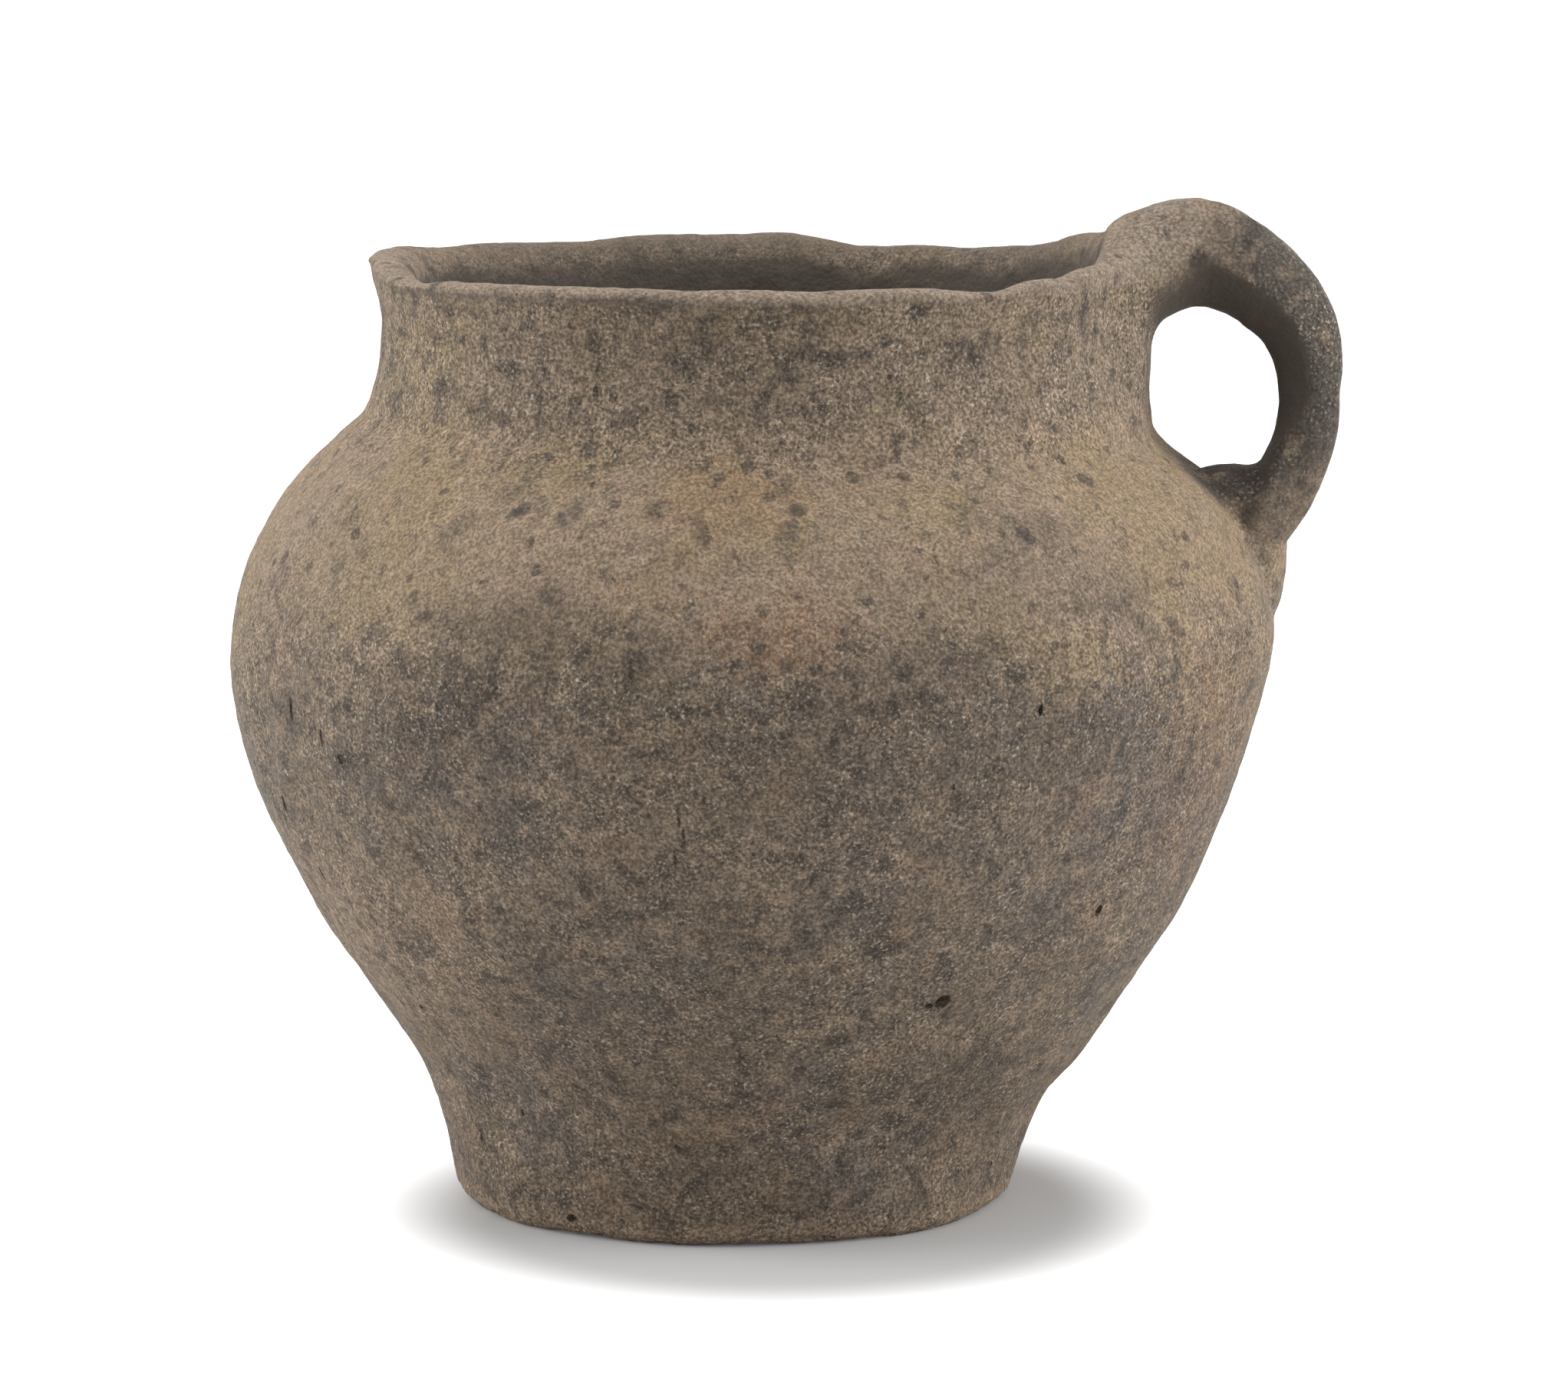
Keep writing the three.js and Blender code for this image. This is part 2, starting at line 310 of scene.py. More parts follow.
class OllaWall(bpy.types.PropertyGroup):
    """The wall's outline from the underside over the lip, and its thickness"""

    underside: station("Underside", "where the flat underside ends", 47.8, 0, -0.3)
    edge: station("Base edge", "above the rounded lower edge", 49.5, 1.6, -0.3)
    base_top: station("Base top", "at the top of the base disc", 51.9, 10.2, 0)
    foot: station("Foot", "where the foot starts to flare", 55.2, 18.9, 0.9)
    flare: station("Flare", "low on the flaring wall", 60.2, 27.2, 2.4)
    lower_wall: station("Lower wall", "in the lower third of the flaring wall", 71.6, 43.8, 1.5)
    mid_wall: station("Middle wall", "half-way up the flaring wall", 76.8, 52, 1.8)
    upper_wall: station("Upper wall", "high on the flaring wall", 84.4, 68.4, 1.8)
    under_belly: station("Under belly", "where the wall stands upright", 89.7, 84.8, 1.9)
    belly: station("Belly", "at the widest part", 91.7, 98.5, 3)
    shoulder: station("Shoulder", "low on the shoulder", 89.5, 109, 3)
    mid_shoulder: station("Middle shoulder", "half-way up the shoulder", 85.6, 117.2, 3)
    shoulder_top: station("Shoulder top", "high on the shoulder", 80.3, 125.3, 3.3)
    neck_break: station("Neck break", "where the shoulder breaks into the neck", 71.7, 133.3, 2.6)
    neck_root: station("Neck root", "at the foot of the neck", 68.4, 137.5, 4.1)
    neck: station("Neck", "half-way up the neck", 66, 145.3, 3.9)
    waist: station("Waist", "at the narrowest part of the neck", 65.2, 152.5, 3.8)
    under_lip: station("Under lip", "in the crease below the lip", 66.5, 160.7, 3.8)
    lip_low: station("Lip's lower edge", "at the lower edge of the lip's band", 66.9, 161.4, 3.8)
    lip_edge: station("Lip's outer edge", "at the outermost part of the lip", 67.1, 162.0, 3.8)
    lip_top: station("Lip's top", "at the top of the lip", 65.3, 163.0, 3.8)
    lip_inner: station("Lip's inner edge", "where the lip turns into the mouth", 61.6, 162.5, 3.8)
    throat: station("Throat", "inside the mouth", 59, 158.8, 3.8)
    thickness: length("Wall thickness", "Thickness of the wall", 7.5)
    floor: length("Floor", "Height of the inner floor", 10.8)
    segments: IntProperty(name="Segments", description="Points round each ring", default=144, min=24)


class OllaHandle(bpy.types.PropertyGroup):
    """The roll of clay that makes the handle, and the wads that lute its ends"""

    rim_end: bend("Rim end", "inside the rim", 60, 156.5, 20, 62)
    root: bend("Root", "where it leaves the rim", 70.5, 162.5, 20, 40)
    crest: bend("Crest", "at the top of the loop", 79.2, 165.2, 19.4, 24)
    turn: bend("Turn", "past the crest", 87.8, 161.7, 16.9, 20)
    upper_bend: bend("Upper bend", "where the loop turns down", 95.1, 156.1, 15, 18.4)
    upper_limb: bend("Upper limb", "high on the limb", 98.9, 148.6, 12.8, 17.2)
    limb: bend("Limb", "at the outermost part", 99.7, 141, 11.4, 16.6)
    lower_limb: bend("Lower limb", "low on the limb", 98.9, 133, 11.4, 16.6)
    lower_bend: bend("Lower bend", "where the loop turns in", 96.1, 126, 11.6, 16.6)
    lower_root: bend("Lower root", "where it meets the shoulder", 91.7, 118.5, 11.4, 16.6)
    shoulder_end: bend("Shoulder end", "inside the shoulder", 86.5, 110.5, 11, 16.6)
    arris: number("Arris", "Share of the width that the ridges along the sides make", 0.5, min=0, max=1)
    segments: IntProperty(name="Segments", description="Points round the roll", default=40, min=12)
    upper_wad: lengths("Upper wad", "Half the size of the wad under the rim end", 4.6, 20, 14)
    crotch_wad: lengths("Crotch wad", "Half the size of the wad in the crotch of the lower end", 10.5, 8, 6.4)
    lower_wad: lengths("Lower wad", "Half the size of the wad on the shoulder", 5.2, 11.5, 14.5)
    mouth: lengths("Mouth", "Lower and upper radius of the trimmed mouth, and its height", 56.5, 60.5, 60)


class OllaSkin(bpy.types.PropertyGroup):
    """How the fused clay is worked over and worn"""

    facet: length("Facet", "Size of the facets that the clay is fused at", 0.8)
    swell: length("Swells", "Height of the broad swells left by the hands", 2.2)
    dent: length("Dents", "Depth of the finger-wide dents", 0.8)
    grain: length("Grain", "Height of the coarse grain", 0.28)
    swell_size: length("Swell size", "Size of the broad swells", 34)
    dent_size: length("Dent size", "Size of the finger-wide dents", 12)
    grain_size: length("Grain size", "Size of the coarse grain", 2.4)
    margin: length("Seam margin", "How far off the plain wall the lutings are cut from it", 1.5)


class OllaClay(bpy.types.PropertyGroup):
    """The colours of the fired clay"""

    tan: colour("Tan", "Clean clay of the shoulder", 0.272, 0.2, 0.138)
    ochre: colour("Ochre", "Yellowish clay of the neck", 0.262, 0.193, 0.116)
    brown: colour("Grey-brown", "Smoked clay of the belly", 0.164, 0.129, 0.097)
    olive: colour("Olive", "Smoked clay of the lower wall", 0.16, 0.122, 0.087)
    haze: colour("Haze", "Bluish smoke on the belly", 0.105, 0.092, 0.086)
    # The hollow colour is painted shade for the inside of the pot and the back of the rim
    hollow_shade: colour("Hollow", "Smoked clay of the inside", 0.082, 0.068, 0.056)
    # Soot is also laid as painted shade in the handle's finger gap and in the crease beside its lower root
    soot: colour("Soot", "Soot spots and fire clouds", 0.052, 0.044, 0.038)
    smoke: colour("Smoke", "Dark brown clay of the handle", 0.073, 0.064, 0.057)
    ash: colour("Ash", "Pale, greyish clay on the handle's top", 0.34, 0.29, 0.24)
    rust: colour("Rust", "Reddish flushes", 0.262, 0.148, 0.085)
    lip: colour("Lip", "Worn, pinkish clay of the lip", 0.29, 0.228, 0.18)
    salt: colour("Salt", "Pale grains in the clay", 0.46, 0.385, 0.29)
    chalk: colour("Chalk", "White grits and scratches", 0.68, 0.6, 0.49)


class OllaStage(bpy.types.PropertyGroup):
    """The camera and the studio"""

    distance: length("Distance", "From the pot's axis to the camera", 1000)
    height: length("Height", "Camera above the floor", 243.8)
    azimuth: number("Azimuth", "Turn of the camera round the pot", math.radians(5.3), subtype="ANGLE")
    pitch: number("Pitch", "How far the camera looks down", math.radians(8.92), subtype="ANGLE")
    focal_px: number("Focal length", "In pixels of the photograph's full width", 7492.0)
    axis_px: number("Axis", "Column of the photograph in which the pot's axis stands", 960.4)
    overhead: number("Overhead light", "Its power", 6.6, unit="POWER")
    side: number("Side lights", "Power of each side light", 6.1, unit="POWER")
    ambient: number("Ambient light", "Of the white studio all round", 0.3)
    backdrop: number("Backdrop", "Brightness where it is seen", 1.1)
    shade: lengths("Shade", "Middle of the shade that the paper keeps", 9, -24, 0)
    reach: lengths("Shade's reach", "Where the shade starts to fade, and is gone, from its middle", 49, 80)
    lift: number("Paper lift", "White that the paper adds", 0.052)


# Modelling helpers


def fresh(add, **settings):
    """Add a primitive with nothing else selected, and give it back"""
    bpy.ops.object.select_all(action="DESELECT")
    add(**settings)
    return bpy.context.object


def only(obj):
    """Select one object alone and make it active"""
    bpy.ops.object.select_all(action="DESELECT")
    obj.select_set(True)
    bpy.context.view_layer.objects.active = obj


def mode(name):
    """Go into edit mode or back to object mode"""
    bpy.ops.object.mode_set(mode=name)


def settle(obj, name):
    """Name an object and put its place, turn and size into its mesh"""
    obj.name = name
    only(obj)
    bpy.ops.object.transform_apply(location=True, rotation=True, scale=True)


def join(objects):
    """Join objects into the first of them"""
    only(objects[0])
    for obj in objects:
        obj.select_set(True)
    bpy.ops.object.join()


def copy_of(obj, name):
    """A copy of an object with a mesh of its own"""
    only(obj)
    bpy.ops.object.duplicate()
    bpy.context.object.name = name
    return bpy.context.object


def largest_part(obj):
    """Keep the largest loose part of an object and sweep away the crumbs beside it"""
    only(obj)
    bpy.ops.mesh.separate(type="LOOSE")
    crumbs = sorted(bpy.context.selected_objects, key=lambda part: len(part.data.vertices))
    largest = crumbs.pop()
    for crumb in crumbs:
        bpy.data.objects.remove(crumb)
    return largest


def apply_modifier(obj, kind, **settings):
    """Add a modifier, set it and apply it"""
    only(obj)
    modifier = obj.modifiers.new(kind.title(), kind)
    for key, value in settings.items():
        setattr(modifier, key, value)
    bpy.ops.object.modifier_apply(modifier=modifier.name)


def carve(obj, operation, cutter, **settings):
    """Cut an object with a cutter"""
    apply_modifier(obj, "BOOLEAN", operation=operation, object=cutter, solver="MANIFOLD", **settings)


def roughen(obj, name, size, depth, height):
    """Raise and sink an object's surface by soft clouds of a size"""
    texture = bpy.data.textures.new(name, "CLOUDS")
    texture.noise_scale = size
    texture.noise_depth = depth
    apply_modifier(obj, "DISPLACE", texture=texture, texture_coords="LOCAL", strength=height, mid_level=0.5)


def smooth_line(knots, per_span):
    """Points of a smooth curve through the knots"""
    last = len(knots) - 1
    line = []
    for i in range(last):
        start, end = knots[i], knots[i + 1]
        leave = start + (end - knots[max(i - 1, 0)]) / 6
        arrive = end - (knots[min(i + 2, last)] - start) / 6
        line += interpolate_bezier(start, leave, arrive, end, per_span + 1)[:-1]
    return line + [knots[last]]


def directions(line):
    """The way that a line runs at each of its points"""
    last = len(line) - 1
    return [(line[min(i + 1, last)] - line[max(i - 1, 0)]).normalized() for i in range(last + 1)]


def places(obj):
    """The places of an object's vertices"""
    flat = np.empty(len(obj.data.vertices) * 3)
    obj.data.vertices.foreach_get("co", flat)
    return flat.reshape(-1, 3)


def distances(obj, place):
    """How far an object's vertices lie from a place"""
    return np.linalg.norm(places(obj) - np.array(place), axis=1)


def select_vertices(obj, chosen):
    """Go into edit mode with the vertices selected that a mask chooses"""
    only(obj)
    mode("EDIT")
    bpy.ops.mesh.select_mode(type="VERT")
    bpy.ops.mesh.select_all(action="DESELECT")
    mode("OBJECT")
    obj.data.vertices.foreach_set("select", chosen)
    mode("EDIT")


def smooth_part(obj, chosen, passes):
    """Smooth the part of an object whose vertices a mask chooses"""
    select_vertices(obj, chosen)
    bpy.ops.object.vertex_group_assign_new()
    mode("OBJECT")
    apply_modifier(obj, "SMOOTH", factor=0.5, iterations=passes, vertex_group=obj.vertex_groups.active.name)
    bpy.ops.object.vertex_group_remove(all=True)


def pull(obj, place, by, spread, falloff="SMOOTH"):
    """Pull the vertex nearest a place, and what lies within the spread of it, as a finger does"""
    away = distances(obj, place)
    select_vertices(obj, away == away.min())
    bpy.ops.transform.translate(
        value=by, use_proportional_edit=True, proportional_edit_falloff=falloff, proportional_size=spread
    )
    mode("OBJECT")


# Shading helpers


class Bench:
    """Lays out the nodes of one material, fills their sockets and links them"""

    def __init__(self, tree):
        self.tree = tree
        self.laid = 0

    def lay(self, kind, sockets=None, **settings):
        """Add a node, set it, and fill each named socket with a value or a link"""
        node = self.tree.nodes.new(kind)
        node.location = (self.laid % 12 * 190 - 2300, -(self.laid // 12) * 240)
        self.laid += 1
        for key, value in settings.items():
            setattr(node, key, value)
        for key, value in (sockets or {}).items():
            if isinstance(value, bpy.types.NodeSocket):
                self.tree.links.new(value, node.inputs[key])
            else:
                node.inputs[key].default_value = value
        return node

    def math(self, operation, first, second, third=0.0):
        """A sum of numbers"""
        return self.lay("ShaderNodeMath", {0: first, 1: second, 2: third}, operation=operation).outputs[0]

    def vector(self, operation, *values):
        """A sum of vectors, which gives a vector or a number"""
        node = self.lay("ShaderNodeVectorMath", dict(enumerate(values)), operation=operation)
        return node.outputs["Value" if operation in VECTOR_MEASURES else "Vector"]

    def ramp(self, value, low, high):
        """A soft step from nothing at the low end to all at the high end"""
        sockets = {"Value": value, "From Min": low, "From Max": high}
        return self.lay("ShaderNodeMapRange", sockets, interpolation_type="SMOOTHSTEP").outputs["Result"]

    def noise(self, point, size, detail):
        """Soft noise whose lumps have a size in millimetres"""
        sockets = {"Vector": point, "Scale": 1 / size, "Detail": detail}
        return self.lay("ShaderNodeTexNoise", sockets).outputs["Fac"]

    def noises(self, point, size, detail):
        """Three noises of one size that go their own ways"""
        node = self.lay("ShaderNodeTexNoise", {"Vector": point, "Scale": 1 / size, "Detail": detail})
        return self.parts(node.outputs["Color"])

    def product(self, *values):
        """Several numbers multiplied"""
        total = values[0]
        for value in values[1:]:
            total = self.math("MULTIPLY", total, value)
        return total

    def far(self, point, place):
        """Distance of a point from a place"""
        return self.vector("DISTANCE", point, place)

    def cells(self, point, size):
        """Distance to the nearest of many scattered points, and a chance that each point holds"""
        node = self.lay("ShaderNodeTexVoronoi", {"Vector": point, "Scale": 1 / size})
        return node.outputs["Distance"], self.parts(node.outputs["Color"])[0]

    def parts(self, vector):
        """The three parts of a vector"""
        return self.lay("ShaderNodeSeparateXYZ", {"Vector": vector}).outputs[:]

    def grey(self, value):
        """A grey of a brightness"""
        return self.lay("ShaderNodeCombineXYZ", {"X": value, "Y": value, "Z": value}).outputs["Vector"]

    def wander(self, point, size, amount):
        """A place shifted at random, so that what is drawn on it has ragged edges"""
        node = self.lay("ShaderNodeTexNoise", {"Vector": point, "Scale": 1 / size, "Detail": 2.0})
        centred = self.vector("SUBTRACT", node.outputs["Color"], (0.5, 0.5, 0.5))
        return self.vector("MULTIPLY_ADD", centred, (amount, amount, amount), point)

    def tint(self, share, under, over, blend="MIX"):
        """A share of one colour laid over another"""
        socket = bpy.types.NodeSocket
        colours = [value if isinstance(value, socket) else (*value, 1) for value in (under, over)]
        sockets = {0: share, 6: colours[0], 7: colours[1]}
        return self.lay("ShaderNodeMix", sockets, data_type="RGBA", blend_type=blend).outputs[2]

    def wash(self, ground, over, *shares):
        """A colour laid over the ground by several shares multiplied"""
        return self.tint(self.product(*shares), ground, over)

    def mark(self, chart, middle, half):
        """A soft oval mark on the chart of degrees and heights"""
        away = self.vector("DIVIDE", self.vector("SUBTRACT", chart, middle), half)
        return self.ramp(self.vector("LENGTH", away), 1.15, 0.45)


# The pot's form


def ring(wall, name):
    """One station of the wall as radius, offset and height"""
    radius, height, offset = getattr(wall, name)
    return Vector((radius, offset, height))


def wall_path(wall):
    """The rings of the wall, up the outside, over the lip and down the inside to the floor"""
    outside = smooth_line([ring(wall, name) for name in WALL_STATIONS], SPAN_RINGS)
    inside = []
    for point, way in zip(outside, directions(outside)):
        inside.append(point + Vector((-way.z, 0, way.x)).normalized() * wall.thickness)
    inside = [point for point in reversed(inside) if point.z > wall.floor + wall.thickness / 2]
    lip = smooth_line([outside[-1]] + [ring(wall, name) for name in LIP_STATIONS] + [inside[0]], SPAN_RINGS)
    corner = inside[-1].copy()
    corner.z = wall.floor
    floor = [corner + Vector(step) * wall.thickness for step in ((-0.2, 0, 0.15), (-0.6, 0, 0))]
    return [ring(wall, "underside")] + outside + lip[1:-1] + inside + floor


def on_wall(wall, degrees, height):
    """A place on the wall's outside"""
    line = smooth_line([ring(wall, name) for name in WALL_STATIONS + LIP_STATIONS[:3]], SPAN_RINGS)
    heights = [point.z for point in line]
    radius, offset = (np.interp(height, heights, [point[i] for point in line]) for i in (0, 1))
    turn = math.radians(degrees)
    return Vector((radius * math.sin(turn) + offset, -radius * math.cos(turn), height))


class OLLA_OT_wall(bpy.types.Operator):
    """Draw the wall up from its base disc, ring by ring, and pull its mouth out of true"""

    bl_idname = "olla.wall"
    bl_label = "Draw up the wall"

    def execute(self, context):
        wall = context.scene.olla_wall
        path = wall_path(wall)
        obj = fresh(
            bpy.ops.mesh.primitive_circle_add,
            vertices=wall.segments,
            radius=path[0].x,
            fill_type="NGON",
            location=(path[0].y, 0, path[0].z),
        )
        settle(obj, "wall")
        mode("EDIT")
        for below, above in zip(path, path[1:]):
            widen = above.x / below.x
            bpy.ops.mesh.extrude_region_move(
                TRANSFORM_OT_translate={"value": (above.y - below.y, 0, above.z - below.z)}
            )
            bpy.ops.transform.resize(value=(widen, widen, 1), center_override=(above.y, 0, above.z))
        mode("OBJECT")
        for degrees, up, spread in LIP_PULLS:
            place = on_wall(wall, degrees, wall.lip_edge[1])
            pull(obj, place, (0, 0, up * MM), spread * MM)
        for degrees, height, out, spread in WALL_PUSHES:
            place = on_wall(wall, degrees, height * MM)
            pull(obj, place, Vector((place.x, place.y, 0)).normalized() * out * MM, spread * MM)
        return {"FINISHED"}


class OLLA_OT_handle(bpy.types.Operator):
    """Bend a tapering roll of clay from the rim over the crest to the shoulder"""

    bl_idname = "olla.handle"
    bl_label = "Bend the handle"

    def execute(self, context):
        handle = context.scene.olla_handle
        bends = [getattr(handle, name) for name in HANDLE_BENDS]
        middles = smooth_line([Vector((out, 0, up)) for out, up, _, _ in bends], SPAN_BENDS)
        sections = smooth_line([Vector((thick, wide, 0)) for _, _, thick, wide in bends], SPAN_BENDS)
        turns = [math.atan2(way.x, way.z) for way in directions(middles)]
        obj = fresh(
            bpy.ops.mesh.primitive_circle_add,
            vertices=handle.segments,
            radius=sections[0].x / 2,
            fill_type="NGON",
            location=middles[0],
            rotation=(0, turns[0], 0),
            scale=(1, (1 - handle.arris) * sections[0].y / sections[0].x, 1),
        )
        settle(obj, "handle")
        side = Vector((0, sections[0].y / 2, 0))
        reach = math.hypot(sections[0].x / 2, side.y * (1 - handle.arris))
        for way in (-side, side):
            pull(obj, middles[0] + way, way * handle.arris, reach, "LINEAR")
        mode("EDIT")
        bpy.ops.mesh.select_all(action="SELECT")
        for i in range(1, len(middles)):
            thin = sections[i].x / sections[i - 1].x
            narrow = sections[i].y / sections[i - 1].y
            turn = turns[i] - turns[i - 1]
            bpy.ops.mesh.extrude_region_move(TRANSFORM_OT_translate={"value": middles[i] - middles[i - 1]})
            bpy.ops.transform.rotate(
                value=-turn if bpy.app.background else turn, orient_axis="Y", center_override=middles[i]
            )
            bpy.ops.transform.resize(value=(thin, narrow, thin), center_override=middles[i])
        mode("OBJECT")
        width = handle.lower_limb[3]
        for out, up, inward, forward in ARRIS_PRESSES:
            place = Vector((out * MM, -width / 2, up * MM))
            pull(obj, place, Vector((-inward, -forward, 0)) * MM, width / 2)
        return {"FINISHED"}


class OLLA_OT_lutings(bpy.types.Operator):
    """Press a wad of clay round each end of the handle, and trim the rim end to the mouth"""

    bl_idname = "olla.lutings"
    bl_label = "Press on the lutings"

    def execute(self, context):
        handle = context.scene.olla_handle
        wall = context.scene.olla_wall
        for name, degrees, height, inset in WADS:
            face = on_wall(wall, degrees, height * MM)
            out = Vector((face.x, face.y, 0)).normalized()
            wad = fresh(
                bpy.ops.mesh.primitive_uv_sphere_add,
                segments=48,
                ring_count=24,
                radius=1,
                location=face - out * inset * MM,
                rotation=(0, 0, math.radians(degrees - 90)),
                scale=getattr(handle, name),
            )
            settle(wad, "wad")
        low, high, tall = handle.mouth
        mouth = fresh(
            bpy.ops.mesh.primitive_cone_add,
            vertices=wall.segments,
            radius1=low,
            radius2=high,
            depth=tall,
            location=(wall.throat[2], 0, wall.throat[1]),
        )
        settle(mouth, "mouth")
        wads = [obj for obj in bpy.data.objects if obj.name.startswith("wad")]
        for obj in [bpy.data.objects["handle"]] + wads:
            carve(obj, "DIFFERENCE", mouth)
        bpy.data.objects.remove(mouth)
        return {"FINISHED"}


class OLLA_OT_skin(bpy.types.Operator):
    """Fuse the wall, the handle and the lutings, and work over the surface of the clay"""

    bl_idname = "olla.skin"
    bl_label = "Fuse and work over the clay"

    def execute(self, context):
        skin = context.scene.olla_skin
        coarse = 1
        clay = bpy.data.objects["wall"]
        plain = copy_of(clay, "plain_wall")

        # The crease under the lip is filled on the copy, so that it doesn't fold there as it swells
        radius, height, offset = context.scene.olla_wall.waist
        place = places(plain)
        outside = np.hypot(place[:, 0] - offset, place[:, 1]) > radius - MM
        smooth_part(plain, outside & (place[:, 2] > height), passes=16)
        apply_modifier(plain, "DISPLACE", strength=skin.margin, mid_level=0)
        wads = [obj for obj in bpy.data.objects if obj.name.startswith("wad")]
        join([clay, bpy.data.objects["handle"]] + wads)
        clay.name = "clay"
        apply_modifier(clay, "REMESH", mode="VOXEL", voxel_size=skin.facet * coarse)
        for middle, half, passes in FILLETS:
            away = np.linalg.norm((places(clay) / MM - np.array(middle)) / np.array(half), axis=1)
            smooth_part(clay, away < 1, round(passes / coarse**2))
        apply_modifier(clay, "SMOOTH", factor=0.5, iterations=2)
        roughen(clay, "swells", skin.swell_size, 1, skin.swell)
        roughen(clay, "dents", skin.dent_size, 1, skin.dent)
        roughen(clay, "grain", skin.grain_size, 2, skin.grain)

        # The underside is worn flat where the pot stands
        select_vertices(clay, places(clay)[:, 2] < 0)
        bpy.ops.transform.resize(value=(1, 1, 0), center_override=(0, 0, 0))
        mode("OBJECT")
        return {"FINISHED"}


class OLLA_OT_pits(bpy.types.Operator):
    """Sink the pits that lost grits have left in the wall"""

    bl_idname = "olla.pits"
    bl_label = "Sink the pits"

    def execute(self, context):
        wall = context.scene.olla_wall
        clay = bpy.data.objects["clay"]
        chance = random.Random(PIT_SEED)
        pits = list(PITS)
        for _ in range(SMALL_PITS):
            width = chance.uniform(0.5, 1.3)
            degrees = chance.uniform(-180, 180)
            height = chance.uniform(6, 156)
            tall = width * chance.uniform(1, 1.8)
            pits.append((degrees, height, width, tall, width * 0.35))
        for degrees in EDGE_CHIPS:
            height = chance.uniform(0, 1.2)
            width = chance.uniform(3, 8)
            tall = chance.uniform(1, 2.2)
            pits.append((degrees, height, width, tall, chance.uniform(0.4, 1)))
        grits = []
        for degrees, height, width, tall, depth in pits:
            place = on_wall(wall, degrees, height * MM)
            axis = Vector((place.x, place.y, 0)).normalized()
            _, surface, normal, _ = clay.ray_cast(place + axis * SEARCH_START, -axis)
            grit = fresh(
                bpy.ops.mesh.primitive_ico_sphere_add,
                subdivisions=3,
                radius=1,
                location=surface,
                rotation=normal.to_track_quat("Z", "Y").to_euler(),
                scale=(width * MM / 2, tall * MM / 2, depth * MM),
            )
            settle(grit, "grit")
            grits.append(grit)
        join(grits)
        roughen(grits[0], "grit_edges", 0.8 * MM, 1, 0.5 * MM)
        carve(clay, "DIFFERENCE", grits[0])
        bpy.data.objects.remove(grits[0])
        return {"FINISHED"}


class OLLA_OT_pieces(bpy.types.Operator):
    """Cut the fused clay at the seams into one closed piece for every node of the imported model"""

    bl_idname = "olla.pieces"
    bl_label = "Cut into coils, handle and lutings"

    def finish(self, piece, node, slot):
        """Name a piece, smooth its shading up to its cut edges and hand it its place in the frame"""
        piece = largest_part(piece)
        only(piece)
        piece.name = f"fired_{node}"
        piece.data.name = piece.name
        piece.active_material_index = piece.material_slots.find("cut_clay")
        mode("EDIT")
        bpy.ops.mesh.select_mode(type="FACE")
        bpy.ops.mesh.select_all(action="DESELECT")
        bpy.ops.object.material_slot_select()
        bpy.ops.mesh.region_to_loop()
        bpy.ops.mesh.mark_sharp()
        mode("OBJECT")
        bpy.ops.object.material_slot_remove()
        bpy.ops.object.shade_smooth_by_angle(angle=math.radians(60), keep_sharp_edges=True)
        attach(piece, "root")
        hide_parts(node)

    def cut_in_two(self, stock, cutter):
        """Cut what lies in a cutter off the stock, and give it back"""
        cutter.data.materials.append(bpy.data.materials["cut_clay"])
        piece = copy_of(stock, "piece")
        carve(piece, "INTERSECT", cutter, material_mode="TRANSFER")
        carve(stock, "DIFFERENCE", cutter, material_mode="TRANSFER")
        return piece

    def part_off(self, stock, place, way):
        """Cut what lies on one side of a plane off the stock, and give it back"""
        way = way.normalized()
        block = fresh(
            bpy.ops.mesh.primitive_cube_add,
            size=1,
            location=place + way / 2,
            rotation=way.to_track_quat("Z", "Y").to_euler(),
        )
        settle(block, "block")
        piece = self.cut_in_two(stock, block)
        bpy.data.objects.remove(block)
        return piece

    def halve(self, stack, coils):
        """Cut a stack of coils in two at its middle seam, until each coil is a piece of its own"""
        if len(coils) == 1:
            self.finish(stack, *coils[0])
            return
        middle = len(coils) // 2
        seam = Vector((0, 0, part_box(coils[middle - 1][0])[1][2]))
        lower = self.part_off(stack, seam, Vector((0, 0, -1)))
        self.halve(lower, coils[:middle])
        self.halve(stack, coils[middle:])

    def execute(self, context):
        handle = context.scene.olla_handle
        clay = bpy.data.objects["clay"]
        plain = bpy.data.objects["plain_wall"]
        clay.data.materials.clear()
        clay.data.materials.append(bpy.data.materials["fired_clay"])
        bpy.data.materials.new("cut_clay")
        wall = self.cut_in_two(clay, plain)
        bpy.data.objects.remove(plain)
        self.halve(wall, COILS)

        bends = {name: getattr(handle, name) for name in HANDLE_BENDS}
        ends = {name: Vector((bend[0], 0, bend[1])) for name, bend in bends.items()}
        down = ends["lower_root"] - ends["lower_limb"]
        back = ends["root"] - ends["crest"]
        self.finish(self.part_off(clay, ends["lower_bend"], down), "lower_luting", "handle_clay")
        self.finish(self.part_off(clay, ends["crest"] + back / 2, back), "upper_luting", "shoulder_clay")
        self.finish(clay, "handle_roll", "handle_clay")
        bpy.data.materials.remove(bpy.data.materials["cut_clay"])
        return {"FINISHED"}


